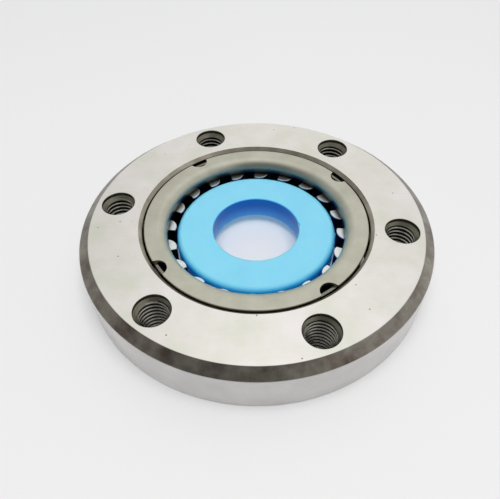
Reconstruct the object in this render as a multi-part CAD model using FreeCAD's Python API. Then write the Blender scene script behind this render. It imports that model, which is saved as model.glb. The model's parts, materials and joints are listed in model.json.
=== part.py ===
import FreeCAD, Part
import math
import os

# Sprag clutch: a one-way clutch ring with a caged set of sprags and a transport plug.
# Millimetres. The axis is Z, the ring's lower face lies at z = 0 and the bolting face is up.
# The sprags grip a boss that comes in along the axis. A plastic plug holds its place until then.

# Boss that the clutch grips, and the room between it and the race that the sprags bridge
boss_radius = 20.65
sprag_space = 8.32
sprag_length = 6.0

# Outer ring, from the race outwards
race_lead_in = 0.86
bolt_inner_land = 2.47
bolt_outer_land = 1.1
rim_chamfer_width = 2.6
rim_chamfer_height = 1.95
lower_edge_break = 0.4
lip_width = 1.87
lip_thickness = 0.8

# Threaded holes of the ring: M8 tapping size, with a plain mouth above a short cone
bolt_count = 6
bolt_first_angle = 51.0
tap_drill_radius = 3.4
bolt_mouth_radius = 4.3
bolt_mouth_depth = 1.0
bolt_exit_chamfer = 0.6

# Inner cage: a drawn sheet with a flat flange, a rolled throat and a windowed sleeve
inner_sheet = 0.8
flange_sink = 0.5
flange_clearance = 0.42
throat_clearance = 2.25
throat_roll = 2.3
throat_depth = 1.5
inner_sleeve_rail = 1.1
notch_count = 4
notch_radius = 2.4
notch_corner = 0.5
notch_first_angle = 34.5

# Outer cage: a drawn cup with a turned-in foot
outer_sheet = 0.8
outer_cage_clearance = 0.67
outer_cage_foot_width = 1.6
outer_cage_rail = 0.6
outer_cage_bend = 0.15
foot_clearance = 0.1

# Sprags
sprag_count = 20
sprag_first_angle = 13.3
sprag_to_race = 0.15
sprag_to_boss = 0.35
sprag_corner = 0.18

# Sprag section: tangential places are positive counter-clockwise seen from above
nose_cam_radius = 2.9
nose_cam_offset = 0.63
nose_flank_place = 1.75
nose_tip_place = -2.15
nose_flank_height = 2.5
head_cam_radius = 3.4
head_cam_offset = -0.5
head_flank_place = 2.3
head_heel_place = -2.4
head_flank_height = 0.65
head_heel_height = 1.3
waist_half_width = 1.45
waist_rise = 0.4

# Windows of the two cages
window_side_clearance = 0.22
window_end_clearance = 0.2
window_corner = 0.5
sprag_swing = 5.0

# Ribbon spring between the cages
ribbon_sheet = 0.25
ribbon_rail = 1.0
ribbon_side_clearance = 0.55
tongue_reach = 0.35
tongue_height = 0.7
tongue_length = 3.0

# Transport plug: a moulded cap, open below, with a central tube
plug_top_rise = 0.6
plug_foot_rise = 0.1
plug_wall = 1.4
plug_edge_radius = 1.5
plug_hole_radius = 11.2
plug_hole_edge_radius = 0.35

# Room that a cutting tool runs past a face, and how near two places are the same
overrun = 1.0
same_place = 0.001

# Radii worked out from the driving dimensions, from the boss outwards
nose_radius = boss_radius + sprag_to_boss
throat_radius = boss_radius + throat_clearance
inner_sleeve_radius = throat_radius + inner_sheet
throat_roll_start = throat_radius + throat_roll
pivot_radius = boss_radius + sprag_space / 2
race_radius = boss_radius + sprag_space
lip_radius = race_radius - lip_width
head_radius = race_radius - sprag_to_race
flange_radius = race_radius - flange_clearance
outer_cage_radius = race_radius - outer_cage_clearance
outer_cage_bore = outer_cage_radius - outer_sheet
recess_radius = race_radius + race_lead_in
bolt_circle_radius = recess_radius + bolt_inner_land + bolt_mouth_radius
ring_top_radius = bolt_circle_radius + bolt_mouth_radius + bolt_outer_land
ring_outer_radius = ring_top_radius + rim_chamfer_width

# Heights worked out from the driving dimensions, from the lower face upwards
outer_cage_bottom = lip_thickness + foot_clearance
outer_cage_foot_top = outer_cage_bottom + outer_sheet
window_bottom = outer_cage_foot_top + outer_cage_rail
inner_sleeve_bottom = window_bottom - inner_sleeve_rail
sprag_bottom = window_bottom + window_end_clearance
sprag_top = sprag_bottom + sprag_length
window_top = sprag_top + window_end_clearance
throat_roll_height = window_top + throat_depth
flange_top = throat_roll_height + throat_roll
outer_cage_top = flange_top - inner_sheet
ring_thickness = flange_top + flange_sink
plug_bottom = sprag_bottom + plug_foot_rise
plug_top = sprag_top + plug_top_rise

# Angle from one sprag to the next
sprag_step = 360.0 / sprag_count


def point(radius, height):
    """A point of a section in the XZ plane."""
    return FreeCAD.Vector(radius, 0, height)


def line(start, end):
    return Part.LineSegment(start, end).toShape()


def arc(start, middle, end):
    return Part.Arc(start, middle, end).toShape()


def corner_arc(centre, radius, first, last):
    """An arc of a section in the XZ plane, from one direction in degrees to another."""
    def at(angle):
        turn = math.radians(angle)
        return centre + FreeCAD.Vector(radius * math.cos(turn), 0, radius * math.sin(turn))
    return arc(at(first), at((first + last) / 2), at(last))


def revolve(edges):
    """A full turn of a closed section about the axis."""
    face = Part.Face(Part.Wire(edges))
    return face.revolve(FreeCAD.Vector(0, 0, 0), FreeCAD.Vector(0, 0, 1), 360)


def closed_lines(points):
    return [line(a, b) for a, b in zip(points, points[1:] + points[:1])]


def turned(shape, angle):
    """A copy turned about the axis by an angle in degrees."""
    copy = shape.copy()
    copy.rotate(FreeCAD.Vector(0, 0, 0), FreeCAD.Vector(0, 0, 1), angle)
    return copy


def around(shape, count, first_angle):
    """Copies spaced evenly about the axis, from a shape that lies on +X."""
    return [turned(shape, first_angle + index * 360.0 / count) for index in range(count)]


def cylinder(radius, bottom, top, centre_radius=0.0):
    centre = FreeCAD.Vector(centre_radius, 0, bottom)
    return Part.makeCylinder(radius, top - bottom, centre, FreeCAD.Vector(0, 0, 1))


def bolt_hole():
    """The tapping hole with a wider mouth, a short cone below it and a chamfered far end."""
    mouth_floor = ring_thickness - bolt_mouth_depth
    cone_height = bolt_mouth_radius - tap_drill_radius
    drill = cylinder(tap_drill_radius, -overrun, ring_thickness, bolt_circle_radius)
    mouth = cylinder(bolt_mouth_radius, mouth_floor, ring_thickness + overrun, bolt_circle_radius)
    cone = Part.makeCone(
        tap_drill_radius,
        bolt_mouth_radius,
        cone_height,
        FreeCAD.Vector(bolt_circle_radius, 0, mouth_floor - cone_height),
        FreeCAD.Vector(0, 0, 1),
    )
    far_end = Part.makeCone(
        tap_drill_radius + bolt_exit_chamfer + overrun,
        tap_drill_radius,
        bolt_exit_chamfer + overrun,
        FreeCAD.Vector(bolt_circle_radius, 0, -overrun),
        FreeCAD.Vector(0, 0, 1),
    )
    return drill.fuse([mouth, cone, far_end])


def outer_race():
    """The ring: chamfered rim, ground bore with a lead-in, and a thin lip below the cages."""
    section = closed_lines([
        point(lip_radius, 0),
        point(ring_outer_radius - lower_edge_break, 0),
        point(ring_outer_radius, lower_edge_break),
        point(ring_outer_radius, ring_thickness - rim_chamfer_height),
        point(ring_top_radius, ring_thickness),
        point(recess_radius, ring_thickness),
        point(race_radius, ring_thickness - race_lead_in),
        point(race_radius, lip_thickness),
        point(lip_radius, lip_thickness),
    ])
    return revolve(section).cut(around(bolt_hole(), bolt_count, bolt_first_angle))


def window(inner_radius, outer_radius, low_place, high_place):
    """A punched opening through a sleeve, with rounded corners."""
    tool = Part.makeBox(
        outer_radius - inner_radius + 2 * overrun,
        high_place - low_place,
        window_top - window_bottom,
        FreeCAD.Vector(inner_radius - overrun, low_place, window_bottom),
    )
    radial_edges = [e for e in tool.Edges if abs(e.tangentAt(e.FirstParameter).x) > 0.99]
    return tool.makeFillet(window_corner, radial_edges)


def swing_room(distance_from_pivot):
    """How far a point of a sprag moves sideways as it rocks, with the clearance added."""
    swing = abs(distance_from_pivot) * math.sin(math.radians(sprag_swing))
    return swing + window_side_clearance


def notch_corner_edges(cage, notches):
    """The upright edges where the notches meet the flange's rim."""
    def is_corner(edge):
        middle = edge.valueAt((edge.FirstParameter + edge.LastParameter) / 2)
        on_rim = abs(math.hypot(middle.x, middle.y) - flange_radius) < same_place
        gaps = [abs(middle.distanceToPoint(notch.CenterOfMass)) for notch in notches]
        return on_rim and edge.Length < 2 * inner_sheet and min(gaps) < notch_radius + inner_sheet
    upright = [e for e in cage.Edges if abs(e.tangentAt(e.FirstParameter).z) > 1 - same_place]
    return [e for e in upright if is_corner(e)]


def inner_cage():
    """One drawn sheet: flange with half-round notches, rolled throat and windowed sleeve."""
    roll_centre = point(throat_roll_start, throat_roll_height)
    section = [
        line(point(flange_radius, flange_top), point(throat_roll_start, flange_top)),
        corner_arc(roll_centre, throat_roll, 90, 180),
        line(point(throat_radius, throat_roll_height), point(throat_radius, inner_sleeve_bottom)),
        line(
            point(throat_radius, inner_sleeve_bottom),
            point(inner_sleeve_radius, inner_sleeve_bottom),
        ),
        line(
            point(inner_sleeve_radius, inner_sleeve_bottom),
            point(inner_sleeve_radius, throat_roll_height),
        ),
        corner_arc(roll_centre, throat_roll - inner_sheet, 180, 90),
        line(
            point(throat_roll_start, flange_top - inner_sheet),
            point(flange_radius, flange_top - inner_sheet),
        ),
        line(point(flange_radius, flange_top - inner_sheet), point(flange_radius, flange_top)),
    ]
    notch = cylinder(notch_radius, outer_cage_top - overrun, flange_top + overrun, flange_radius)
    room = swing_room(pivot_radius - throat_radius)
    opening = window(
        throat_radius,
        inner_sleeve_radius,
        nose_tip_place - room,
        nose_flank_place + room,
    )
    notches = around(notch, notch_count, notch_first_angle)
    openings = around(opening, sprag_count, sprag_first_angle)
    cage = revolve(section).cut(notches + openings)
    return cage.makeFillet(notch_corner, notch_corner_edges(cage, notches))


def outer_cage():
    """A windowed sleeve with a turned-in foot that stands on the ring's lip."""
    foot_radius = outer_cage_radius - outer_cage_foot_width
    bend_radius = outer_cage_bend + outer_sheet
    bend_centre = point(outer_cage_radius - bend_radius, outer_cage_bottom + bend_radius)
    section = [
        line(point(foot_radius, outer_cage_bottom), point(bend_centre.x, outer_cage_bottom)),
        corner_arc(bend_centre, bend_radius, -90, 0),
        line(point(outer_cage_radius, bend_centre.z), point(outer_cage_radius, outer_cage_top)),
        line(point(outer_cage_radius, outer_cage_top), point(outer_cage_bore, outer_cage_top)),
        line(point(outer_cage_bore, outer_cage_top), point(outer_cage_bore, bend_centre.z)),
        corner_arc(bend_centre, outer_cage_bend, 0, -90),
        line(point(bend_centre.x, outer_cage_foot_top), point(foot_radius, outer_cage_foot_top)),
        line(point(foot_radius, outer_cage_foot_top), point(foot_radius, outer_cage_bottom)),
    ]
    room = swing_room(head_radius - pivot_radius)
    opening = window(
        outer_cage_bore,
        outer_cage_radius,
        head_heel_place - room,
        head_flank_place + room,
    )
    return revolve(section).cut(around(opening, sprag_count, sprag_first_angle))


def sprag():
    """One sprag on +X: a cam face at the nose and at the head, joined by a narrow waist."""
    nose_centre_height = nose_radius + nose_cam_radius
    head_centre_height = head_radius - head_cam_radius

    def at(place, radius):
        return FreeCAD.Vector(radius, place, sprag_bottom)

    def nose_cam(place):
        drop = math.sqrt(nose_cam_radius ** 2 - (place - nose_cam_offset) ** 2)
        return at(place, nose_centre_height - drop)

    def head_cam(place):
        rise = math.sqrt(head_cam_radius ** 2 - (place - head_cam_offset) ** 2)
        return at(place, head_centre_height + rise)

    nose_flank = nose_cam(nose_flank_place)
    nose_tip = nose_cam(nose_tip_place)
    flank_end = at(nose_flank_place, nose_radius + nose_flank_height)
    head_flank = head_cam(head_flank_place)
    head_heel = head_cam(head_heel_place)
    head_flank_foot = at(head_flank_place, head_flank.x - head_flank_height)
    head_heel_foot = at(head_heel_place, head_heel.x - head_heel_height)
    section = [
        arc(nose_tip, nose_cam(nose_cam_offset), nose_flank),
        line(nose_flank, flank_end),
        arc(flank_end, at(waist_half_width, pivot_radius + waist_rise), head_flank_foot),
        line(head_flank_foot, head_flank),
        arc(head_flank, head_cam(head_cam_offset), head_heel),
        line(head_heel, head_heel_foot),
        arc(head_heel_foot, at(-waist_half_width, pivot_radius), nose_tip),
    ]
    body = Part.Face(Part.Wire(section)).extrude(FreeCAD.Vector(0, 0, sprag_length))
    long_edges = [e for e in body.Edges if abs(e.tangentAt(e.FirstParameter).z) > 0.99]
    return body.makeFillet(sprag_corner, long_edges)


def ribbon_spring():
    """A thin band with an opening round each sprag's waist and a tongue that leans on it."""
    inner_radius = pivot_radius - ribbon_sheet / 2
    outer_radius = pivot_radius + ribbon_sheet / 2
    bottom = window_bottom - ribbon_rail
    top = window_top + ribbon_rail
    hollow = cylinder(inner_radius, bottom - overrun, top + overrun)
    band = cylinder(outer_radius, bottom, top).cut(hollow)
    half_opening = waist_half_width + ribbon_side_clearance
    opening = window(inner_radius, outer_radius, -half_opening, half_opening)
    band = band.cut(around(opening, sprag_count, sprag_first_angle))
    foot = (window_bottom + window_top - tongue_length) / 2
    root = half_opening + ribbon_sheet
    tip_radius = outer_radius + tongue_height
    tip = root - tongue_reach
    tongue = Part.makePolygon([
        FreeCAD.Vector(outer_radius, root, foot),
        FreeCAD.Vector(tip_radius, tip, foot),
        FreeCAD.Vector(tip_radius, tip + ribbon_sheet, foot),
        FreeCAD.Vector(inner_radius, root + ribbon_sheet, foot),
        FreeCAD.Vector(outer_radius, root, foot),
    ])
    tongue = Part.Face(tongue).extrude(FreeCAD.Vector(0, 0, tongue_length))
    return band.fuse(around(tongue, sprag_count, sprag_first_angle)).removeSplitter()


def transport_plug():
    """A moulded cap: flat top with a rounded rim, a skirt and a central tube, open below."""
    skirt_centre = point(boss_radius - plug_edge_radius, plug_top - plug_edge_radius)
    hole_centre = point(plug_hole_radius + plug_hole_edge_radius, plug_top - plug_hole_edge_radius)
    section = [
        line(point(boss_radius, plug_bottom), point(boss_radius, plug_top - plug_edge_radius)),
        corner_arc(skirt_centre, plug_edge_radius, 0, 90),
        line(point(boss_radius - plug_edge_radius, plug_top), point(hole_centre.x, plug_top)),
        corner_arc(hole_centre, plug_hole_edge_radius, 90, 180),
        line(point(plug_hole_radius, hole_centre.z), point(plug_hole_radius, plug_bottom)),
        line(point(plug_hole_radius, plug_bottom), point(plug_hole_radius + plug_wall, plug_bottom)),
        line(
            point(plug_hole_radius + plug_wall, plug_bottom),
            point(plug_hole_radius + plug_wall, plug_top - plug_wall),
        ),
        line(
            point(plug_hole_radius + plug_wall, plug_top - plug_wall),
            point(boss_radius - plug_wall, plug_top - plug_wall),
        ),
        line(
            point(boss_radius - plug_wall, plug_top - plug_wall),
            point(boss_radius - plug_wall, plug_bottom),
        ),
        line(point(boss_radius - plug_wall, plug_bottom), point(boss_radius, plug_bottom)),
    ]
    return revolve(section)


def main():
    os.makedirs("parts", exist_ok=True)
    pieces = {
        "outer_race": outer_race(),
        "outer_cage": outer_cage(),
        "inner_cage": inner_cage(),
        "ribbon_spring": ribbon_spring(),
        "transport_plug": transport_plug(),
    }
    one_sprag = sprag()
    for index in range(sprag_count):
        name = "sprag_%02d" % (index + 1)
        pieces[name] = turned(one_sprag, sprag_first_angle + index * sprag_step)
    for name, shape in pieces.items():
        shape.exportStep("parts/%s.step" % name)
        print(name, shape.isValid(), len(shape.Solids), round(shape.Volume, 3))


main()
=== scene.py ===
# %% [markdown]
# # A sprag clutch, from its measured solids to a studio picture
#
# A sprag clutch is a ring that turns freely one way and grips the other way. Twenty small steel
# cams, the sprags, stand between a hardened race and a boss. Two thin cages hold them apart and a
# ribbon spring tips them all the same way. Until the boss is fitted, a blue plastic plug takes its
# place. This lesson dresses the measured solids: it turns, taps, punches and presses the same
# pieces again with finer edges, gives each its real finish, and sets up a small photo studio.
#
# Everything is in metres, because the solids are. Sizes are written in millimetres, as a workshop
# drawing has them, and multiplied by MM where they are used.

# %% Load the measured solids
import bmesh
import bpy
import json
import math
from mathutils import Matrix, Vector


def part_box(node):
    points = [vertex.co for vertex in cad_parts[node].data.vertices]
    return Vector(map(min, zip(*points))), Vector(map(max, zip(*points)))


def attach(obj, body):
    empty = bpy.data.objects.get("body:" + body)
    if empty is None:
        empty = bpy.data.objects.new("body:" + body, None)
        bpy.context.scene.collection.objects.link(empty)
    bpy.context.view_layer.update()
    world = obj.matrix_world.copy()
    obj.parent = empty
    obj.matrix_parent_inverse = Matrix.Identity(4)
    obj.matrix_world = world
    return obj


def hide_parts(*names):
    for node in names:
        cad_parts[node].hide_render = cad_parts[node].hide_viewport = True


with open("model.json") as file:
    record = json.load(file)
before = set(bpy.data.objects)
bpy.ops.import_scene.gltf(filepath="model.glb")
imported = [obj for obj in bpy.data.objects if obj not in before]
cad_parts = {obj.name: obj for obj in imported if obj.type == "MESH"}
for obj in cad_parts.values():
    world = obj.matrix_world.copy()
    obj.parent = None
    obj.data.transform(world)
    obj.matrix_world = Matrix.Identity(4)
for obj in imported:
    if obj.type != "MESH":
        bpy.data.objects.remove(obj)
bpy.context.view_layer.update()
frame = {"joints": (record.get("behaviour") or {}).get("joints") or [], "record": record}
MM = 0.001

# %% [markdown]
# ## Sizes
#
# The outer sizes come from the solids themselves and from the record's list of mounts, so they
# can't drift from the drawing. Only what a box can't tell, such as the race inside the ring, is
# written out here.

# %% Read the sizes of the ring, the cages and the plug
mounts = {mount["name"]: mount for mount in frame["record"]["mounts"]}
bolt_circle_radius = mounts["bolt_circle"]["dims"]["pcd_mm"] / 2
bolt_count = mounts["bolt_circle"]["dims"]["count"]
thread_crest_radius = mounts["bolt_circle"]["dims"]["hole_r_mm"]
thread_start = mounts["bolt_circle"]["pos_m"][2] / MM


def box_of(node):
    """Outer radius, lowest and highest point of a solid that stands round the axis, in mm."""
    low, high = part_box(node)
    return high.x / MM, low.z / MM, high.z / MM


ring_radius, ring_bottom, ring_top = box_of("outer_race")
flange_radius, inner_sleeve_bottom, flange_top = box_of("inner_cage")
outer_cage_radius, outer_cage_bottom, outer_cage_top = box_of("outer_cage")
plug_radius, plug_bottom, plug_top = box_of("transport_plug")
sprag_bottom, sprag_top = (corner.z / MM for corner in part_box("sprag_01"))
print("ring", round(ring_radius, 2), "x", round(ring_top, 2), "mm, plug radius", round(plug_radius, 2))

# %% Sizes that the boxes can't tell, in millimetres
race_radius = 28.97
race_lead_in = 0.86
rim_chamfer_width = 2.6
rim_chamfer_height = 1.95
lower_edge_break = 0.4
lip_radius = 27.1
lip_thickness = 0.8
hole_mouth_radius = 4.3
hole_mouth_depth = 1.0
hole_exit_chamfer = 0.6
hole_first_angle = 51.0
thread_pitch = 1.25
thread_root_radius = 4.0

sheet = 0.8
throat_radius = 22.9
throat_roll = 2.5
notch_count = 4
notch_radius = 2.4
notch_corner = 0.5
notch_first_angle = 34.5
outer_foot_radius = 26.7
outer_bend = 0.15

plug_wall = 1.4
plug_edge_radius = 1.5
plug_hole_radius = 11.2
plug_hole_edge_radius = 0.35

# %% [markdown]
# ## Helpers
#
# A shader or a Geometry Nodes tree is a list of nodes and links. One small function adds a node,
# sets it up and links its inputs, so that a tree reads from top to bottom like a recipe. Three more
# stand for the nodes that come back most: a blend of colours, a sum and a ramp. Colours are written
# as the hex values that a screen shows, and one function turns them into the linear values that a
# renderer counts in.

# %% Colours and nodes
def linear(hex_colour):
    """An sRGB hex colour as linear red, green, blue and alpha."""
    values = [int(hex_colour[i:i + 2], 16) / 255 for i in (1, 3, 5)]
    return [v / 12.92 if v <= 0.04045 else ((v + 0.055) / 1.055) ** 2.4 for v in values] + [1.0]


def add(tree, kind, inputs=None, **settings):
    """Adds a node. Settings go on the node itself; inputs are sockets to link or values to set."""
    node = tree.nodes.new(kind)
    for name, value in settings.items():
        setattr(node, name, value)
    for name, value in (inputs or {}).items():
        if isinstance(value, bpy.types.NodeSocket):
            tree.links.new(value, node.inputs[name])
        else:
            node.inputs[name].default_value = value
    return node


# The Mix node has sockets of one name for numbers, vectors and colours; these are the colours'.
COLOUR_A, COLOUR_B, MIXED_COLOUR = 6, 7, 2


def blend(tree, factor, first, second):
    """The first colour where the factor is 0, the second where it is 1."""
    colours = {"Factor": factor, COLOUR_A: first, COLOUR_B: second}
    return add(tree, "ShaderNodeMix", colours, data_type="RGBA").outputs[MIXED_COLOUR]


def calc(tree, operation, *values):
    """One sum on one, two or three sockets or numbers."""
    return add(tree, "ShaderNodeMath", dict(enumerate(values)), operation=operation).outputs[0]


def ramp(tree, value, start, end, low=0.0, high=1.0, **settings):
    """A number that goes from low to high while the value goes from start to end."""
    ends = {"Value": value, "From Min": start, "From Max": end, "To Min": low, "To Max": high}
    return add(tree, "ShaderNodeMapRange", ends, **settings).outputs[0]


print("linear mid grey:", [round(v, 3) for v in linear("#808080")])

# %% [markdown]
# A Geometry Nodes tree here always ends the same way: Realize Instances, then one or more Set
# Material nodes, so that the result is a plain mesh that carries its finish. The tree's inputs
# have names, and a piece hands its sizes over by each input's identifier before it is evaluated
# for the first time. Then the result replaces the piece's mesh and the modifier goes.

# %% Start, run and finish a tree
SOCKETS = {
    float: "NodeSocketFloat",
    int: "NodeSocketInt",
    bpy.types.Material: "NodeSocketMaterial",
    bpy.types.Object: "NodeSocketObject",
}


def new_tree(name, **inputs):
    """A tree with a Geometry input and output, and one named input for each keyword."""
    tree = bpy.data.node_groups.new(name, "GeometryNodeTree")
    tree.interface.new_socket("Geometry", in_out="INPUT", socket_type="NodeSocketGeometry")
    for label, kind in inputs.items():
        tree.interface.new_socket(label, in_out="INPUT", socket_type=SOCKETS[kind])
    tree.interface.new_socket("Geometry", in_out="OUTPUT", socket_type="NodeSocketGeometry")
    return tree, add(tree, "NodeGroupInput").outputs


def end_tree(tree, geometry, finishes):
    """Realize Instances and one Set Material for each (finish, selection), then the output."""
    geometry = add(tree, "GeometryNodeRealizeInstances", {"Geometry": geometry}).outputs[0]
    for finish, selection in finishes:
        inputs = {"Geometry": geometry, "Material": finish}
        if selection is not None:
            inputs["Selection"] = selection
        geometry = add(tree, "GeometryNodeSetMaterial", inputs).outputs[0]
    add(tree, "NodeGroupOutput", {0: geometry})
    return tree


def settle(piece):
    """Evaluates a piece's modifiers once and keeps the result as its own mesh."""
    bpy.context.view_layer.update()
    evaluated = piece.evaluated_get(bpy.context.evaluated_depsgraph_get())
    made = bpy.data.meshes.new_from_object(evaluated)
    piece.modifiers.clear()
    piece.data = made
    made.name = piece.name
    for index in reversed(range(len(made.materials))):
        if made.materials[index] is None:
            made.materials.pop(index=index)
    return piece


def run_tree(piece, tree, **values):
    """Sets a tree's inputs by their identifiers, then settles the piece."""
    modifier = piece.modifiers.new("make", "NODES")
    modifier.node_group = tree
    for item in tree.interface.items_tree:
        if item.in_out == "INPUT" and item.name in values:
            modifier[item.identifier] = values[item.name]
    return settle(piece)


# %% Wires, rounded corners and the last touch on a mesh
def wire(name, points, closed=True):
    """A piece made of edges only, through points in millimetres."""
    mesh = bpy.data.meshes.new(name)
    edges = [(i, i + 1) for i in range(len(points) - 1)]
    if closed:
        edges.append((len(points) - 1, 0))
    mesh.from_pydata([Vector(p) * MM for p in points], edges, [])
    piece = bpy.data.objects.new(name, mesh)
    bpy.context.scene.collection.objects.link(piece)
    return piece


def rounded(corners, steps=3):
    """An outline with a fillet at each corner, from (x, y, radius) in millimetres."""
    points = []
    for k, (x, y, radius) in enumerate(corners):
        here = Vector((x, y))
        before = (Vector(corners[k - 1][:2]) - here).normalized()
        after = (Vector(corners[(k + 1) % len(corners)][:2]) - here).normalized()
        if radius == 0:
            points.append((x, y))
            continue
        half = before.angle(after) / 2
        centre = here + (before + after).normalized() * radius / math.sin(half)
        first = here + before * radius / math.tan(half) - centre
        last = here + after * radius / math.tan(half) - centre
        for step in range(steps + 1):
            spoke = first.slerp(last, step / steps).normalized()
            points.append(tuple(centre + spoke * radius))
    return points


def smooth(piece, angle=35):
    """Smooth shading that keeps flat faces flat and every edge sharper than the angle crisp."""
    piece.data.shade_smooth()
    piece.data.set_sharp_from_angle(angle=math.radians(angle))
    weighted = piece.modifiers.new("flat faces stay flat", "WEIGHTED_NORMAL")
    weighted.keep_sharp = True
    return settle(piece)


def volume_of(piece):
    """Volume in cubic millimetres, positive when the faces point outwards."""
    bm = bmesh.new()
    bm.from_mesh(piece.data)
    volume = bm.calc_volume(signed=True)
    bm.free()
    return volume / MM ** 3


def report(piece):
    """Prints a finished piece's triangles and volume."""
    piece.data.calc_loop_triangles()
    print(piece.name, len(piece.data.loop_triangles), "triangles,", round(volume_of(piece), 1), "mm3")


# %% [markdown]
# ## The lathe
#
# The ring, both cages and the plug are turned or drawn shapes, so one section and one axis make
# each of them. Spinning the section with a modifier would do, but a tree keeps the steps in view:
# the section wire becomes a curve, is laid flat as a profile, and Curve to Mesh sweeps it round a
# small circle. Sections are drawn counter-clockwise, with the radius to the right and the height
# upwards, so that the faces point outwards.

# %% Sweep a section round the axis
HUB = 10 * MM
LATHE_STEPS = 288


def section(points):
    """Section points (radius, height) in millimetres as points in the XZ plane."""
    return [(radius, 0, height) for radius, height in points]


def lathe(tree, outline, steps=LATHE_STEPS):
    """Nodes that turn a section wire, drawn in the XZ plane, into a solid of revolution."""
    place = add(tree, "GeometryNodeInputPosition").outputs[0]
    place = add(tree, "ShaderNodeSeparateXYZ", {0: place}).outputs
    across = calc(tree, "SUBTRACT", place["X"], HUB)
    down = calc(tree, "MULTIPLY", place["Z"], -1.0)
    flat = add(tree, "ShaderNodeCombineXYZ", {"X": across, "Y": down}).outputs[0]
    curve = add(tree, "GeometryNodeMeshToCurve", {"Mesh": outline}).outputs[0]
    profile = add(tree, "GeometryNodeSetPosition", {"Geometry": curve, "Position": flat}).outputs[0]
    circle = add(tree, "GeometryNodeCurvePrimitiveCircle", {"Resolution": steps, "Radius": HUB}).outputs[0]
    swept = add(tree, "GeometryNodeCurveToMesh", {"Curve": circle, "Profile Curve": profile}).outputs[0]
    outward = add(tree, "GeometryNodeFlipFaces", {"Mesh": swept}).outputs[0]
    return add(tree, "GeometryNodeMergeByDistance", {"Geometry": outward, "Distance": 1e-7}).outputs[0]


def around(tree, geometry, count, first_angle):
    """Copies spaced evenly about the axis, from a shape that lies on +X."""
    points = add(tree, "GeometryNodePoints", {"Count": count}).outputs[0]
    index = add(tree, "GeometryNodeInputIndex").outputs[0]
    turn = calc(tree, "MULTIPLY_ADD", index, math.tau / count, math.radians(first_angle))
    turn = add(tree, "ShaderNodeCombineXYZ", {"Z": turn}).outputs[0]
    copies = add(
        tree,
        "GeometryNodeInstanceOnPoints",
        {"Points": points, "Instance": geometry, "Rotation": turn},
    ).outputs[0]
    return add(tree, "GeometryNodeRealizeInstances", {"Geometry": copies}).outputs[0]


def zone(tree, radius=(0, 100), height=(-100, 100)):
    """Selects faces whose centres lie within a range of radius and of height in millimetres."""
    place = add(tree, "GeometryNodeInputPosition").outputs[0]
    upward = add(tree, "ShaderNodeSeparateXYZ", {0: place}).outputs["Z"]
    level = add(tree, "ShaderNodeVectorMath", {0: place, 1: (1, 1, 0)}, operation="MULTIPLY").outputs[0]
    outward = add(tree, "ShaderNodeVectorMath", {0: level}, operation="LENGTH").outputs["Value"]
    tests = []
    for value, (low, high) in ((outward, radius), (upward, height)):
        middle = (low + high) / 2 * MM
        reach = (high - low) / 2 * MM
        test = {"A": value, "B": middle, "Epsilon": reach}
        tests.append(add(tree, "FunctionNodeCompare", test, operation="EQUAL").outputs[0])
    return add(tree, "FunctionNodeBooleanMath", {0: tests[0], 1: tests[1]}, operation="AND").outputs[0]


def cut(tree, body, tools):
    """One exact Boolean that takes the tools out of the body."""
    settings = {"operation": "DIFFERENCE", "solver": "EXACT"}
    return add(tree, "GeometryNodeMeshBoolean", {"Mesh 1": body, "Mesh 2": tools}, **settings).outputs[0]
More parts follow.
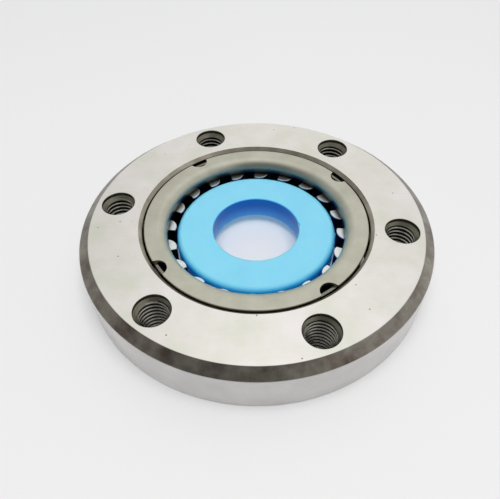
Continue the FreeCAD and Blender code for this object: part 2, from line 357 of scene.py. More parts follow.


# %% [markdown]
# ## Steel finishes
#
# Nearly everything here is bare steel, and what tells one steel surface from another is how its
# last cut was made. A surface grinder leaves fine straight lines, a lathe leaves rings, a tap
# leaves torn oily flanks, a press leaves a satin skin and a tumbling barrel leaves an even
# speckle. One recipe serves them all: two tones in soft patches, and a grain that is stretched
# along the cut. The grain is given as its real size along X, Y and Z, in millimetres. Painted
# shade can be laid over the tones as a dark band at some height, and grains of dirt as specks.

# %% One recipe for bare steel
def steel(name, light, dark, patch, grain, roughness, bump, blotch=0.5, band_shade=None, specks=None):
    """A metal with two tones in patches of some millimetres and a grain of (x, y, z) millimetres.

    Band shade is (colour, middle, full, fade): painted shade, all of that colour within full of
    the middle height and none of it past fade.
    Specks is (colour, spacing, radius): a few grains of dirt. They fill space at that spacing, so
    a flat face shows only those that it happens to cut.
    """
    finish = bpy.data.materials.new(name)
    finish.use_nodes = True
    tree = finish.node_tree
    surface = tree.nodes["Principled BSDF"]
    surface.inputs["Metallic"].default_value = 1.0
    place = add(tree, "ShaderNodeTexCoord").outputs["Object"]

    patches = add(
        tree,
        "ShaderNodeTexNoise",
        {"Vector": place, "Scale": 1 / (patch * MM), "Detail": 4.0, "Roughness": 0.6},
    ).outputs["Fac"]
    shade = ramp(tree, patches, 0.5 - blotch / 2, 0.5 + blotch / 2)
    tone = blend(tree, shade, linear(dark), linear(light))
    # Painted shade: a dark colour laid over the tones round a middle height.
    if band_shade:
        shade_colour, middle, full_reach, fade_reach = band_shade
        height = add(tree, "ShaderNodeSeparateXYZ", {0: place}).outputs["Z"]
        away = calc(tree, "SUBTRACT", height, middle * MM)
        away = calc(tree, "ABSOLUTE", away)
        unshaded = ramp(tree, away, full_reach * MM, fade_reach * MM, interpolation_type="SMOOTHSTEP")
        tone = blend(tree, unshaded, linear(shade_colour), tone)
    if specks:
        speck_colour, spacing, radius = specks
        grains = {"Vector": place, "Scale": 1 / (spacing * MM)}
        away = add(tree, "ShaderNodeTexVoronoi", grains).outputs["Distance"]
        bare = calc(tree, "GREATER_THAN", away, radius / spacing)
        tone = blend(tree, bare, linear(speck_colour), tone)
    tree.links.new(tone, surface.inputs["Base Color"])

    stretched = add(
        tree,
        "ShaderNodeMapping",
        {"Vector": place, "Scale": [1 / (size * MM) for size in grain]},
    ).outputs[0]
    cut_marks = add(
        tree,
        "ShaderNodeTexNoise",
        {"Vector": stretched, "Scale": 1.0, "Detail": 3.0, "Roughness": 0.55},
    ).outputs["Fac"]
    rough = ramp(tree, cut_marks, 0.0, 1.0, roughness * 0.75, roughness * 1.25)
    tree.links.new(rough, surface.inputs["Roughness"])
    relief = add(
        tree,
        "ShaderNodeBump",
        {"Height": cut_marks, "Strength": 1.0, "Distance": bump * MM},
    ).outputs[0]
    tree.links.new(relief, surface.inputs["Normal"])
    return finish


# %% The finishes of the ring, the cages, the spring and the sprags
# Surface-ground face: straight lines along X, a warm grey that drifts a little in colour, and
# here and there a grain of dirt.
dirt = ("#8F8A7E", 4.0, 0.2)
ground_face = steel(
    "Face-ground hardened steel",
    "#E2DDDB",
    "#D2D2C5",
    12,
    (9, 0.16, 9),
    0.3,
    0.004,
    blotch=0.36,
    specks=dirt,
)
# Turned rim: fine rings round the axis, so the grain is long in X and Y and short in Z.
turned_rim = steel("Turned hardened steel", "#D2D0CD", "#BFBDBC", 9, (14, 14, 0.18), 0.3, 0.004)
# Chamfer: left dark by hardening and not ground again, with an uneven oily scale.
dark_chamfer = steel(
    "Hardening scale on steel", "#98958A", "#60554E", 6, (6, 6, 0.3), 0.38, 0.006, blotch=0.35
)
# Lead-in of the race: the same scale, half worn off by what has been pushed in past it.
worn_chamfer = steel(
    "Worn scale on steel", "#AAA798", "#83796D", 6, (6, 6, 0.3), 0.36, 0.005, blotch=0.4
)
# Race bore: ground fine, so that the sprags can roll and grip on it.
ground_bore = steel("Ground and oiled race steel", "#A9A79C", "#86847A", 7, (10, 10, 0.12), 0.25, 0.002)
# Mouths of the holes: drilled before hardening, so they kept a brownish olive skin.
drilled_mouth = steel("Drilled hardened steel", "#8D8A79", "#6F6C5F", 2.5, (3, 3, 0.3), 0.42, 0.004)
# Tapped threads: bright, slightly torn crests, and near-black roots, partly cutting oil and partly
# painted shade.
tapped_steel = steel("Tapped steel", "#A09D95", "#7A776F", 1.5, (1.2, 1.2, 0.3), 0.27, 0.003)
oily_shaded_root = steel("Oily thread root", "#2B2925", "#181613", 1.0, (0.8, 0.8, 0.3), 0.3, 0.003)
# Cage sheet: deep-drawn, so the skin is satin and the same in every direction. Shade is painted on
# the sleeve as a near-black band, which fades out as the roll turns towards the flange.
unshaded_roll = 1.1
throat_fade = 2.8
throat_shade_reach = (flange_top - unshaded_roll - inner_sleeve_bottom) / 2
throat_shade = ("#0D1016", inner_sleeve_bottom + throat_shade_reach, throat_shade_reach - throat_fade, throat_shade_reach)
drawn_sheet = steel(
    "Deep-drawn steel sheet", "#BFBEB0", "#ACAB9C", 6, (0.5, 0.5, 0.5), 0.42, 0.003, band_shade=throat_shade
)
# Outer cage sheet: the same steel, smooth with oil where it runs in the race, and painted darker
# as shade, since it sits deep under the flange.
oiled_shaded_sheet = steel("Oiled drawn steel sheet", "#8A887C", "#6E6C61", 6, (6, 6, 0.4), 0.22, 0.002)
# Ribbon spring: rolled strip with a bright skin and fine lines along the strip.
rolled_strip = steel("Rolled spring steel strip", "#B9BCBE", "#8F9294", 3, (4, 4, 0.1), 0.24, 0.001)
# Sprags: hardened bearing steel from the tumbling barrel, bright with a fine even speckle. Their
# sides, which stand in the gaps between them, get painted near-black shade, all but near the ends.
side_shade_up_to = 0.6
unshaded_from = 0.12
sprag_half = (sprag_top - sprag_bottom) / 2
sprag_side_shade = ("#15181D", sprag_bottom + sprag_half, sprag_half - side_shade_up_to, sprag_half - unshaded_from)
tumbled_steel = steel(
    "Tumbled bearing steel", "#E2E5E5", "#C4C9CA", 1.2, (0.3, 0.3, 0.3), 0.3, 0.004, band_shade=sprag_side_shade
)
print("steel finishes:", len([m for m in bpy.data.materials if "teel" in m.name]))

# %% [markdown]
# ## The plug's plastic
#
# The plug is a throw-away moulding in blue polyethylene. It is slightly waxy: light enters it and
# comes out again nearby, which lifts the shadow side, and its skin has a soft, wide gloss with the
# faint ripple of the mould. So it is a plastic with a little subsurface, a fine bump, and a
# slightly deeper blue in uneven patches. Flat faces keep the pale blue, and upright walls get a
# deeper blue painted on as their shade, so the surface's own direction mixes the two. Little light
# gets through a subsurface to what lies below it, so the inside of the cap gets a painted glow
# instead.

# %% Moulded polyethylene
PAINTED_GLOW_COLOUR = "#D0E0EA"


def moulded_plastic(name, light, dark, wall_shade, gloss=0.5, through=0.0, foot=None):
    """A semi-gloss moulding in patches of two tones, with painted shade of a deeper colour on its walls.

    Through is the strength of a painted glow that the inside of the thin cap gives off, in place of
    light from above coming through it. Foot is (colour, low, high): a painted light, that colour at
    the height low and none of it at the height high.
    """
    finish = bpy.data.materials.new(name)
    finish.use_nodes = True
    tree = finish.node_tree
    surface = tree.nodes["Principled BSDF"]
    surface.inputs["IOR"].default_value = 1.51
    surface.inputs["Specular IOR Level"].default_value = gloss
    surface.inputs["Subsurface Weight"].default_value = 1.0
    surface.inputs["Subsurface Radius"].default_value = (0.2, 0.7, 1.0)
    surface.inputs["Subsurface Scale"].default_value = 3.0 * MM
    # The emission is a painted glow standing in for light that comes through the thin cap.
    surface.inputs["Emission Color"].default_value = linear(PAINTED_GLOW_COLOUR)
    surface.inputs["Emission Strength"].default_value = through
    coordinates = add(tree, "ShaderNodeTexCoord").outputs
    place = coordinates["Object"]
    patches = add(
        tree,
        "ShaderNodeTexNoise",
        {"Vector": place, "Scale": 1 / (8 * MM), "Detail": 3.0},
    ).outputs["Fac"]
    tone = blend(tree, patches, linear(dark), linear(light))
    # Upright walls take the deeper colour as painted shade; flat faces keep the patches.
    upward = add(tree, "ShaderNodeSeparateXYZ", {0: coordinates["Normal"]}).outputs["Z"]
    flatness = ramp(tree, calc(tree, "ABSOLUTE", upward), 0.4, 1.0)
    tone = blend(tree, flatness, linear(wall_shade), tone)
    # Painted light: a paler colour towards the foot of the piece.
    if foot:
        foot_light_colour, low, high = foot
        height = add(tree, "ShaderNodeSeparateXYZ", {0: place}).outputs["Z"]
        above = ramp(tree, height, low * MM, high * MM)
        tone = blend(tree, above, linear(foot_light_colour), tone)
    tree.links.new(tone, surface.inputs["Base Color"])
    skin = add(
        tree,
        "ShaderNodeTexNoise",
        {"Vector": place, "Scale": 1 / (0.4 * MM), "Detail": 4.0},
    ).outputs["Fac"]
    rough = ramp(tree, skin, 0.0, 1.0, 0.26, 0.38)
    tree.links.new(rough, surface.inputs["Roughness"])
    relief = add(
        tree,
        "ShaderNodeBump",
        {"Height": skin, "Strength": 1.0, "Distance": 0.006 * MM},
    ).outputs[0]
    tree.links.new(relief, surface.inputs["Normal"])
    return finish


blue_plastic = moulded_plastic("Moulded blue polyethylene", "#90DAF1", "#7CD0ED", "#2FB4F0")
# The tube's wall is painted a deep blue as the shade inside the hole, and paler at its foot as
# painted light from the table.
foot_light_height = 4.0
tube_foot_light = ("#58A8E0", plug_bottom, plug_bottom + foot_light_height)
shaded_blue_tube = moulded_plastic(
    "Moulded blue polyethylene tube", "#0A78C8", "#0070C2", "#0070C4", gloss=0.2, foot=tube_foot_light
)
# The inside of the cap gets a painted glow, in place of light from above coming through
# the thin wall, so the hollow isn't dark.
blue_hollow = moulded_plastic(
    "Lit-through blue polyethylene", "#90DAF1", "#7CD0ED", "#2FB4F0", through=0.32
)
print("plastics:", blue_plastic.name, "and", shaded_blue_tube.name, "and", blue_hollow.name)

# %% [markdown]
# ## A tap
#
# The six holes are threaded M8 right through, and the light on the crests is what the eye looks
# for. The thread could be a bump, but a real one keeps its shape at every angle. A tap is the
# simplest way to a real one: a rod whose surface is a helix. Each column of its points starts a
# little higher than the one before, so that after a full turn it has climbed one pitch and meets
# the row one pitch up. The Boolean then cuts the ring with it, as the real tap does, and the cut
# faces keep the tap's own two materials, bright for the crests and dark for the roots.

# %% A tap with a right-hand helix
TAP_COLUMNS = 24
ROWS_PER_PITCH = 8


def thread_radius(row):
    """The tap's radius at a row: crest, flank or root of the thread that it cuts."""
    distance = abs((row / ROWS_PER_PITCH + 0.5) % 1 - 0.5)
    flank = min(max((distance - 1 / 8) / (5 / 16), 0), 1)
    return thread_crest_radius + (thread_root_radius - thread_crest_radius) * flank


def make_tap(name, low, high):
    """A closed rod with a thread on it, on the Z axis between two heights in millimetres."""
    bm = bmesh.new()
    rows = round((high - low) / thread_pitch * ROWS_PER_PITCH)
    grid = {}
    for row in range(rows + 1):
        for column in range(TAP_COLUMNS):
            turn = column / TAP_COLUMNS
            radius = thread_radius(row)
            height = low + thread_pitch * (row / ROWS_PER_PITCH + turn)
            angle = turn * math.tau
            spot = Vector((radius * math.cos(angle), radius * math.sin(angle), height)) * MM
            grid[column, row] = bm.verts.new(spot)
    for row in range(rows + 1 - ROWS_PER_PITCH):
        grid[TAP_COLUMNS, row] = grid[0, row + ROWS_PER_PITCH]
    for column in range(TAP_COLUMNS):
        for row in range(rows):
            ring = [(column, row), (column + 1, row), (column + 1, row + 1), (column, row + 1)]
            if all(key in grid for key in ring):
                face = bm.faces.new([grid[key] for key in ring])
                # Crest rows take the bright steel; the rest take the root material, darkened with painted
                # shade.
                face.material_index = 0 if row % ROWS_PER_PITCH in (0, 1) else 1
    ends = [edge for edge in bm.edges if edge.is_boundary]
    for height, side in ((low, -1), (high, 1)):
        middle = bm.verts.new((0, 0, height * MM))
        for edge in ends:
            above = edge.verts[0].co.z > (low + high) / 2 * MM
            if above == (side > 0):
                bm.faces.new([edge.verts[0], edge.verts[1], middle])
    bmesh.ops.recalc_face_normals(bm, faces=bm.faces)
    mesh = bpy.data.meshes.new(name)
    bm.to_mesh(mesh)
    bm.free()
    mesh.materials.append(tapped_steel)
    mesh.materials.append(oily_shaded_root)
    tap = bpy.data.objects.new(name, mesh)
    bpy.context.scene.collection.objects.link(tap)
    return tap


tap = make_tap("tap", ring_bottom - thread_pitch, thread_start + thread_pitch / 2)
print("tap:", len(tap.data.polygons), "faces,", round(volume_of(tap), 1), "mm3")

# %% [markdown]
# ## The ring
#
# The ring is turned, tapped and ground: its section goes round the axis, six tapped holes with
# wider mouths are cut out of it, and each zone gets the finish of its last operation. The drilled
# blank takes the turned finish just before the tap cuts it, because the Boolean keeps the
# materials of both, and so the thread keeps the tap's. Every edge has a small rounding, because a
# real edge catches the light as a thin bright line.

# %% Section of the ring and of the countersink for a hole's mouth
small_edge = 0.15
cutter_overlap = 0.2
mouth_break = 0.06
recess_radius = race_radius + race_lead_in
ring_corners = [
    (lip_radius, ring_bottom, small_edge),
    (ring_radius - lower_edge_break, ring_bottom, small_edge),
    (ring_radius, ring_bottom + lower_edge_break, small_edge),
    (ring_radius, ring_top - rim_chamfer_height, 0.3),
    (ring_radius - rim_chamfer_width, ring_top, 0.25),
    (recess_radius, ring_top, 0.1),
    (race_radius, ring_top - race_lead_in, small_edge),
    (race_radius, lip_thickness, 0),
    (lip_radius, lip_thickness, small_edge),
]
mouth_floor = ring_top - hole_mouth_depth
mouth_corners = [
    (0, thread_start - cutter_overlap),
    (thread_crest_radius - cutter_overlap, thread_start - cutter_overlap),
    (hole_mouth_radius, mouth_floor),
    (hole_mouth_radius, ring_top - mouth_break),
    (hole_mouth_radius + mouth_break, ring_top),
    (hole_mouth_radius + mouth_break, ring_top + 1),
    (0, ring_top + 1),
]
exit_corners = [
    (0, ring_bottom - 1),
    (thread_crest_radius + hole_exit_chamfer + 1, ring_bottom - 1),
    (thread_crest_radius - cutter_overlap, ring_bottom + hole_exit_chamfer + cutter_overlap),
    (0, ring_bottom + hole_exit_chamfer + cutter_overlap),
]
mouth_cutter = wire("mouth_cutter", section(mouth_corners), closed=False)
exit_cutter = wire("exit_cutter", section(exit_corners), closed=False)

# %% Turn, drill, tap and finish the ring
tree, given = new_tree(
    "Ring with tapped holes",
    tap=bpy.types.Object,
    mouth=bpy.types.Object,
    exit=bpy.types.Object,
    bolt_circle=float,
)
out = add(tree, "ShaderNodeCombineXYZ", {"X": given["bolt_circle"]}).outputs[0]
blank = lathe(tree, given["Geometry"])
for name in ("mouth", "exit", "tap"):
    tool = add(tree, "GeometryNodeObjectInfo", {"Object": given[name]}).outputs["Geometry"]
    if name == "tap":
        drilled = {"Geometry": blank, "Material": turned_rim}
        blank = add(tree, "GeometryNodeSetMaterial", drilled).outputs[0]
    else:
        tool = lathe(tree, tool, steps=48)
    tool = add(tree, "GeometryNodeTransform", {"Geometry": tool, "Translation": out}).outputs[0]
    blank = cut(tree, blank, around(tree, tool, bolt_count, hole_first_angle))
hole_reach = hole_mouth_radius + 0.05
hole_zone = (bolt_circle_radius - hole_reach, bolt_circle_radius + hole_reach)
inside = (ring_bottom + 0.01, ring_top - 0.01)
ring_finishes = [
    (ground_face, zone(tree, height=(ring_top - 0.01, ring_top + 0.01))),
    (dark_chamfer, zone(
        tree,
        radius=(ring_radius - rim_chamfer_width + 0.1, ring_radius - 0.1),
        height=(ring_top - rim_chamfer_height, ring_top - 0.05),
    )),
    (ground_bore, zone(tree, radius=(lip_radius - 0.1, recess_radius), height=inside)),
    (worn_chamfer, zone(
        tree,
        radius=(race_radius + 0.1, recess_radius - 0.05),
        height=(ring_top - race_lead_in, ring_top - 0.05),
    )),
    (drilled_mouth, zone(tree, radius=hole_zone, height=(thread_start, ring_top - 0.05))),
]
end_tree(tree, blank, ring_finishes)
ring = wire("ring_ground", section(rounded(ring_corners)))
cutters = {"tap": tap, "mouth": mouth_cutter, "exit": exit_cutter}
run_tree(ring, tree, bolt_circle=bolt_circle_radius * MM, **cutters)
smooth(ring)
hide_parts("outer_race")
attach(ring, "outer_race")
report(ring)


# %% [markdown]
# ## The two cages
#
# Each cage is one drawn sheet: a section round the axis, with a window punched for every sprag.
# The inner cage also has the flat flange that shows in the picture, with four half-round notches
# in its edge. A window is a rectangle with rounded corners, pushed through the sleeve along the
# radius, so a filleted curve swept along a short line makes the punch. The windows stand where the
# sprags stand, which the joints of the frame tell.

# %% Where the sprags stand
sprag_joints = {j["child"]: j for j in frame["joints"] if j["child"].startswith("sprag_")}
sprag_angles = {}
for body, joint in sorted(sprag_joints.items()):
    x, y, z = joint["pos_m"]
    sprag_angles[body] = math.degrees(math.atan2(y, x)) % 360
    pivot_radius = math.hypot(x, y) / MM
sprag_count = len(sprag_angles)
first_sprag_angle = sprag_angles["sprag_01"]
print(sprag_count, "sprags, the first at", round(first_sprag_angle, 2), "degrees")
print("pivots at radius", round(pivot_radius, 2), "mm")

# %% Sizes of a window, with the places of its two sides along the pitch circle
window_gap = 0.2
window_corner = 0.5
window_bottom = sprag_bottom - window_gap
window_top = sprag_top + window_gap
inner_window = (-2.54, 2.14)
outer_window = (-2.97, 2.87)


# %% Draw the nibbling tool for a notch
def notch_outline(steps=8):
    """A half-round notch in the flange's rim, with a rounded corner where it meets the rim."""
    x = ((flange_radius - notch_corner) ** 2 - (notch_radius + notch_corner) ** 2 + flange_radius ** 2)
    x = x / (2 * flange_radius)
    y = math.sqrt((flange_radius - notch_corner) ** 2 - x ** 2)
    corner = Vector((x, y))
    middle = Vector((flange_radius, 0))
    outward = corner.normalized()
    towards = (middle - corner).normalized()
    side = []
    for step in range(steps + 1):
        spoke = outward.slerp(towards, step / steps).normalized()
        side.append(corner + spoke * notch_corner)
    first = math.atan2(y, x - flange_radius)
    last = math.tau - first
    arc = []
    for step in range(1, 3 * steps):
        turn = first + (last - first) * step / (3 * steps)
        arc.append(middle + Vector((math.cos(turn), math.sin(turn))) * notch_radius)
    other_side = [Vector((p.x, -p.y)) for p in reversed(side)]
    beyond = [Vector((flange_radius + 2, -y)), Vector((flange_radius + 2, y))]
    return [(p.x, p.y, flange_top - 2) for p in side + arc + other_side + beyond]


notch_cutter = wire("notch_cutter", notch_outline())
print("notch outline:", len(notch_cutter.data.vertices), "points")


# %% Draw, punch and notch a cage
def cage_tree(name, sleeve_radius, window_places, notches):
    """A tree that turns a cage's section and punches its windows, and its notches if it has them."""
    tree, given = new_tree(name, finish=bpy.types.Material, corner=float, notch=bpy.types.Object)
    cage = lathe(tree, given["Geometry"])
    low, high = window_places
    frame_size = {"Width": (high - low) * MM, "Height": (window_top - window_bottom) * MM}
    outline = add(tree, "GeometryNodeCurvePrimitiveQuadrilateral", frame_size).outputs[0]
    corner = {"Curve": outline, "Count": 4, "Radius": given["corner"]}
    outline = add(tree, "GeometryNodeFilletCurve", corner, mode="POLY").outputs[0]
    start = ((sleeve_radius - 2) * MM, (low + high) / 2 * MM, (window_bottom + window_top) / 2 * MM)
    end = ((sleeve_radius + 2) * MM, start[1], start[2])
    path = add(tree, "GeometryNodeCurvePrimitiveLine", {"Start": start, "End": end}).outputs[0]
    punch = {"Curve": path, "Profile Curve": outline, "Fill Caps": True}
    punch = add(tree, "GeometryNodeCurveToMesh", punch).outputs[0]
    cage = cut(tree, cage, around(tree, punch, sprag_count, first_sprag_angle))
    if notches:
        outline = add(tree, "GeometryNodeObjectInfo", {"Object": given["notch"]}).outputs["Geometry"]
        outline = add(tree, "GeometryNodeMeshToCurve", {"Mesh": outline}).outputs[0]
        stroke = {"Start": (0, 0, 0), "End": (0, 0, 4 * MM)}
        stroke = add(tree, "GeometryNodeCurvePrimitiveLine", stroke).outputs[0]
        nibble = {"Curve": stroke, "Profile Curve": outline, "Fill Caps": True}
        nibble = add(tree, "GeometryNodeCurveToMesh", nibble).outputs[0]
        cage = cut(tree, cage, around(tree, nibble, notch_count, notch_first_angle))
    return end_tree(tree, cage, [(given["finish"], None)])


def arc_points(centre, radius, first, last, steps=10):
    """Corners along an arc, from one direction in degrees to another, with no radius of their own."""
    x, y = centre
    turns = [math.radians(first + (last - first) * k / steps) for k in range(steps + 1)]
    return [(x + radius * math.cos(t), y + radius * math.sin(t), 0) for t in turns]


def make_cage(name, node, corners, tree, sheet_finish):
    """Makes one cage in place of its solid."""
    cage = wire(name, section(rounded(corners)))
    run_tree(cage, tree, finish=sheet_finish, corner=window_corner * MM, notch=notch_cutter)
    smooth(cage)
    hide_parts(node)
    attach(cage, "cage")
    report(cage)


# %% The inner cage: flange, rolled throat and sleeve
sheared = 0.12
roll_centre = (throat_radius + throat_roll, flange_top - throat_roll)
inner_corners = [
    (throat_radius, inner_sleeve_bottom, sheared),
    (throat_radius + sheet, inner_sleeve_bottom, sheared),
    *arc_points(roll_centre, throat_roll - sheet, 180, 90),
    (flange_radius, flange_top - sheet, sheared),
    (flange_radius, flange_top, 0.3),
    *arc_points(roll_centre, throat_roll, 90, 180, steps=20),
]
inner_tree = cage_tree("Inner cage", throat_radius, inner_window, notches=True)
make_cage("cage_inner_drawn", "inner_cage", inner_corners, inner_tree, drawn_sheet)

# %% The outer cage: a sleeve on a turned-in foot
outer_corners = [
    (outer_foot_radius, outer_cage_bottom, sheared),
    (outer_cage_radius, outer_cage_bottom, outer_bend + sheet),
    (outer_cage_radius, outer_cage_top, sheared),
    (outer_cage_radius - sheet, outer_cage_top, sheared),
    (outer_cage_radius - sheet, outer_cage_bottom + sheet, outer_bend),
    (outer_foot_radius, outer_cage_bottom + sheet, sheared),
]
outer_tree = cage_tree("Outer cage", outer_cage_radius - sheet, outer_window, notches=False)
make_cage("cage_outer_drawn", "outer_cage", outer_corners, outer_tree, oiled_shaded_sheet)

# %% [markdown]
# ## The transport plug
#
# The plug holds the sprags apart on the way to the workshop. It is a thin moulded cap with a
# rounded rim, a skirt and a short tube round its hole, and it is open below. Its section goes
# round the lathe like the others. Moulded parts have no sharp edge at all, so every corner gets a
# radius. A moulded cap also has a gate mark: where the plastic was broken off the runner, the
# hole's rim has a small bite in it, which one more Boolean takes out.

# %% Mould the plug
moulded_edge = 0.3
plug_corners = [
    (plug_hole_radius, plug_bottom, moulded_edge),
    (plug_hole_radius + plug_wall, plug_bottom, moulded_edge),
    (plug_hole_radius + plug_wall, plug_top - plug_wall, moulded_edge),
    (plug_radius - plug_wall, plug_top - plug_wall, moulded_edge),
    (plug_radius - plug_wall, plug_bottom, moulded_edge),
    (plug_radius, plug_bottom, moulded_edge),
    (plug_radius, plug_top, plug_edge_radius),
    (plug_hole_radius, plug_top, plug_hole_edge_radius),
]
gate_angle = 4
gate_size = (0.9, 1.6, 0.9)
tree, given = new_tree(
    "Moulded plug",
    finish=bpy.types.Material,
    tube_finish=bpy.types.Material,
    hollow_finish=bpy.types.Material,
    gate_radius=float,
)
plug_body = lathe(tree, given["Geometry"])
bite = add(tree, "GeometryNodeMeshUVSphere", {"Segments": 16, "Rings": 8, "Radius": MM / 2}).outputs[0]
gate_place = add(tree, "ShaderNodeCombineXYZ", {"X": given["gate_radius"], "Z": plug_top * MM}).outputs[0]
gate = {"Geometry": bite, "Translation": gate_place, "Scale": gate_size}
bite = add(tree, "GeometryNodeTransform", gate).outputs[0]
plug_body = cut(tree, plug_body, around(tree, bite, 1, gate_angle))
tube = zone(
    tree,
    radius=(plug_hole_radius - 0.05, plug_hole_radius + 0.05),
    height=(plug_bottom, plug_top - plug_hole_edge_radius),
)
hollow = zone(
    tree,
    radius=(plug_hole_radius + plug_wall - 0.05, plug_radius - plug_wall + 0.05),
    height=(plug_bottom + moulded_edge, plug_top - plug_wall + 0.05),
)
plug_finishes = [(given["finish"], None), (given["tube_finish"], tube), (given["hollow_finish"], hollow)]
end_tree(tree, plug_body, plug_finishes)
plug = wire("plug_moulded", section(rounded(plug_corners, steps=5)))
run_tree(
    plug,
    tree,
    finish=blue_plastic,
    tube_finish=shaded_blue_tube,
    hollow_finish=blue_hollow,
    gate_radius=plug_hole_radius * MM,
)
smooth(plug)
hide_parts("transport_plug")
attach(plug, "plug")
report(plug)

# %% [markdown]
# ## The sprags
#
# A sprag is cut from a drawn bar: its outline is the same at every height. The nose that rests on
# the boss and the head that rolls on the race are arcs with different centres, which is what makes
# it grip one way, and a narrow waist between them leaves room for the spring. All twenty are the
# same shape, so a tree sweeps the outline up a short line and swings it to its place, and a bevel
# rounds the two end faces as the tumbling barrel does. Each stays a piece of its own, because each
# rocks about its own pivot, though the cages keep all twenty in step.

# %% The outline of a sprag, with its pivot at the middle
nose_reach = 3.81
head_reach = 4.01
nose_cam_radius = 2.9
nose_cam_offset = 0.63
nose_flank_place = 1.75
nose_tip_place = -2.15
nose_flank_height = 2.5
head_cam_radius = 3.4
head_cam_offset = -0.5
head_flank_place = 2.3
head_heel_place = -2.4
head_flank_height = 0.65
head_heel_height = 1.3
waist_half_width = 1.45
waist_rise = 0.4
sprag_corner = 0.18


def nose_cam(place):
    """A corner on the nose's cam face, (radius from the pivot, place along the pitch circle)."""
    drop = math.sqrt(nose_cam_radius ** 2 - (place - nose_cam_offset) ** 2)
    return nose_cam_radius - nose_reach - drop, place


def head_cam(place):
    """A corner on the head's cam face."""
    rise = math.sqrt(head_cam_radius ** 2 - (place - head_cam_offset) ** 2)
    return head_reach - head_cam_radius + rise, place


def through(start, middle, end, steps=8):
    """Points between two ends of a curve that passes through a middle point."""
    start, middle, end = Vector(start), Vector(middle), Vector(end)
    handle = 2 * middle - (start + end) / 2
    spots = []
    for k in range(1, steps):
        t = k / steps
        spot = start * (1 - t) ** 2 + handle * 2 * t * (1 - t) + end * t ** 2
        spots.append((spot.x, spot.y, 0))
    return spots


def along(cam, first, last, steps=10):
    """Points on a cam face between two places, without its ends."""
    return [(*cam(first + (last - first) * k / steps), 0) for k in range(1, steps)]


# %% Sprags: one outline, twenty pieces
flank_end = (nose_flank_height - nose_reach, nose_flank_place)
head_flank_foot = (head_cam(head_flank_place)[0] - head_flank_height, head_flank_place)
head_heel_foot = (head_cam(head_heel_place)[0] - head_heel_height, head_heel_place)
sprag_corners = [
    (*nose_cam(nose_tip_place), sprag_corner),
    *through(head_heel_foot, (0, -waist_half_width), nose_cam(nose_tip_place))[::-1],
    (*head_heel_foot, sprag_corner),
    (*head_cam(head_heel_place), sprag_corner),
    *along(head_cam, head_heel_place, head_flank_place),
    (*head_cam(head_flank_place), sprag_corner),
    (*head_flank_foot, sprag_corner),
    *through(flank_end, (waist_rise, waist_half_width), head_flank_foot)[::-1],
    (*flank_end, sprag_corner),
    (*nose_cam(nose_flank_place), sprag_corner),
    *along(nose_cam, nose_flank_place, nose_tip_place),
]
tree, given = new_tree("Sprag", finish=bpy.types.Material, angle=float, pivot_radius=float)
rise = {"Start": (0, 0, sprag_bottom * MM), "End": (0, 0, sprag_top * MM)}
rise = add(tree, "GeometryNodeCurvePrimitiveLine", rise).outputs[0]
outline = add(tree, "GeometryNodeMeshToCurve", {"Mesh": given["Geometry"]}).outputs[0]
bar = {"Curve": rise, "Profile Curve": outline, "Fill Caps": True}
bar = add(tree, "GeometryNodeCurveToMesh", bar).outputs[0]
out = add(tree, "ShaderNodeCombineXYZ", {"X": given["pivot_radius"]}).outputs[0]
bar = add(tree, "GeometryNodeTransform", {"Geometry": bar, "Translation": out}).outputs[0]
swing = add(tree, "ShaderNodeCombineXYZ", {"Z": given["angle"]}).outputs[0]
bar = add(tree, "GeometryNodeTransform", {"Geometry": bar, "Rotation": swing}).outputs[0]
end_tree(tree, bar, [(given["finish"], None)])

for body, degrees in sprag_angles.items():
    piece = wire(body.replace("sprag", "sprag_tumbled"), [(x, y, 0) for x, y in rounded(sprag_corners)])
    run_tree(piece, tree, finish=tumbled_steel, angle=math.radians(degrees), pivot_radius=pivot_radius * MM)
    rounding = piece.modifiers.new("tumbled edges", "BEVEL")
    rounding.width = 0.14 * MM
    rounding.segments = 2
    rounding.angle_limit = math.radians(50)
    settle(piece)
    smooth(piece, angle=60)
    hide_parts(body)
    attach(piece, body)
report(piece)

# %% [markdown]
# ## The ribbon spring
#
# The spring's own solid already has its openings and the tongue that leans on each sprag, so it
# stays and only gets its finish: rolled strip, bright, with fine lines along the band.

# %% Finish the spring
ribbon = bpy.data.objects["ribbon_spring"]
ribbon.data.materials.clear()
ribbon.data.materials.append(rolled_strip)
print("ribbon spring:", ribbon.material_slots[0].material.name)

# %% [markdown]
# ## Floor, light and camera
#
# The clutch lies on a pale table. The floor is one large sheet with a faint unevenness. Polished
# steel shows its surroundings, so the work is shared out. The world is what the steel mirrors: it
# is bright above and behind, where a window and a white wall would be, and darker on the
# photographer's side. The lamps light every surface but aren't mirrored, because their mirror
# images would burn out the flat ring. The camera sees a plain pale grey where the floor ends.

# %% A pale floor
floor_mesh = bpy.data.meshes.new("floor")
floor_reach = 2.0
floor_corners = [(-1, -1, 0), (1, -1, 0), (1, 1, 0), (-1, 1, 0)]
floor_mesh.from_pydata([Vector(c) * floor_reach for c in floor_corners], [], [(0, 1, 2, 3)])
floor = bpy.data.objects.new("floor", floor_mesh)
bpy.context.scene.collection.objects.link(floor)
floor_paint = bpy.data.materials.new("Matt white laminate")
floor_paint.use_nodes = True
tree = floor_paint.node_tree
surface = tree.nodes["Principled BSDF"]
surface.inputs["Roughness"].default_value = 0.6
place = add(tree, "ShaderNodeTexCoord").outputs["Object"]
unevenness = add(tree, "ShaderNodeTexNoise", {"Vector": place, "Scale": 6.0}).outputs["Fac"]
tone = blend(tree, unevenness, linear("#EAEAEB"), linear("#EEEEEE"))
tree.links.new(tone, surface.inputs["Base Color"])
floor.data.materials.append(floor_paint)

# %% The world: bright behind and above, darker in front
# How much of the side walls, and of the right one again, counts as open and bright
side_opening = 0.45
right_opening = 0.3
# The front's darkest level, and between which directions it brightens to the full level
darkest = 0.2
dark_until = -0.75
bright_from = 0.15
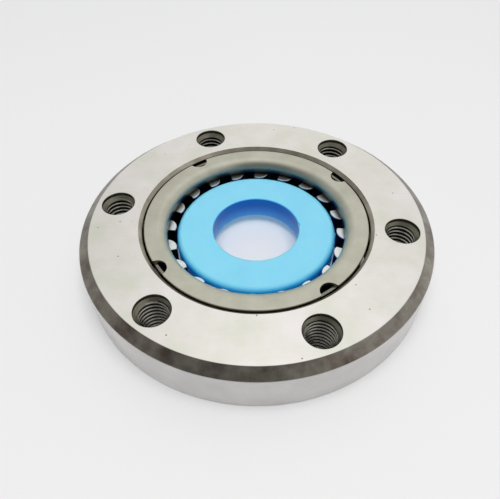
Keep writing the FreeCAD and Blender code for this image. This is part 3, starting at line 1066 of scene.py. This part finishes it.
# What the sides lose, what the right gains, and what the ceiling and the horizon add
side_loss = -0.38
right_gain = 0.2
ceiling_from = 0.6
ceiling_gain = 0.35
horizon_up_to = 0.5
horizon_gain = 0.3
# Plain levels for what lights matt surfaces and for what the camera sees directly
matt_level = 0.36
backdrop_level = 0.83
soft = {"interpolation_type": "SMOOTHSTEP"}

world = bpy.data.worlds.new("studio")
world.use_nodes = True
bpy.context.scene.world = world
tree = world.node_tree
background = tree.nodes["Background"]
direction = add(tree, "ShaderNodeTexCoord").outputs["Generated"]
parts = add(tree, "ShaderNodeSeparateXYZ", {0: direction}).outputs
sides = calc(tree, "ABSOLUTE", parts["X"])
open_side = calc(tree, "MULTIPLY_ADD", sides, side_opening, parts["Y"])
open_side = calc(tree, "MULTIPLY_ADD", parts["X"], right_opening, open_side)
wall = ramp(tree, open_side, dark_until, bright_from, darkest, 1.0, **soft)
fall = calc(tree, "MULTIPLY_ADD", sides, side_loss, 1.0)
lean = calc(tree, "MULTIPLY_ADD", parts["X"], right_gain, fall)
ceiling = ramp(tree, parts["Z"], ceiling_from, 1.0, 0.0, ceiling_gain, **soft)
horizon = ramp(tree, parts["Z"], 0.0, horizon_up_to, horizon_gain, 0.0, **soft)
glow = calc(tree, "ADD", lean, ceiling)
glow = calc(tree, "ADD", glow, horizon)
glow = calc(tree, "MULTIPLY", wall, glow)
rays = add(tree, "ShaderNodeLightPath").outputs
for ray, level in (("Is Diffuse Ray", matt_level), ("Is Camera Ray", backdrop_level)):
    glow = add(tree, "ShaderNodeMix", {0: rays[ray], 2: glow, 3: level}, data_type="FLOAT").outputs[0]
tree.links.new(glow, background.inputs["Strength"])
background.inputs["Color"].default_value = (1, 1, 1, 1)


# %% Lamps
def lamp(name, place, target, size, power):
    """A square area lamp, placed and aimed in metres, that polished steel doesn't mirror."""
    light = bpy.data.lights.new(name, "AREA")
    light.energy = power
    light.size = size
    holder = bpy.data.objects.new(name, light)
    bpy.context.scene.collection.objects.link(holder)
    holder.location = place
    aim = Vector(target) - Vector(place)
    holder.rotation_euler = aim.to_track_quat("-Z", "Y").to_euler()
    holder.visible_glossy = False


lamp("overhead", (0.03, -0.2, 1.0), (0, 0, 0), 0.7, 7.3)
lamp("ceiling", (0.05, 0.45, 0.8), (0, 0, 0), 1.0, 0.4)

# %% Camera at the photograph's angle
camera_place = (-0.00166, -0.08753, 0.09811)
camera_pitch = math.radians(48.12)
camera_roll = math.radians(0.81)
sensor_width = 36.0
focal_length_px = 477.0
image_width_px = 500.0
forward = Vector((0, math.cos(camera_pitch), -math.sin(camera_pitch)))
upright = Vector((0, math.sin(camera_pitch), math.cos(camera_pitch)))
sideways = Vector((1, 0, 0))
right = math.cos(camera_roll) * sideways - math.sin(camera_roll) * upright
up = math.sin(camera_roll) * sideways + math.cos(camera_roll) * upright
camera = bpy.data.objects.new("camera", bpy.data.cameras.new("camera"))
bpy.context.scene.collection.objects.link(camera)
turn = Matrix((right, up, -forward)).transposed().to_4x4()
camera.matrix_world = Matrix.Translation(camera_place) @ turn
camera.data.sensor_width = sensor_width
camera.data.clip_start = 0.01
camera.data.lens = focal_length_px / image_width_px * sensor_width
bpy.context.scene.camera = camera
bpy.context.scene.view_settings.view_transform = "Standard"
print("lens", round(camera.data.lens, 2), "mm")

# %% [markdown]
# ## The last step
#
# The drills and taps were only tools, so they go.

# %% Clear the tools
for tool in (tap, mouth_cutter, exit_cutter, notch_cutter):
    bpy.data.objects.remove(tool)
bpy.context.view_layer.update()
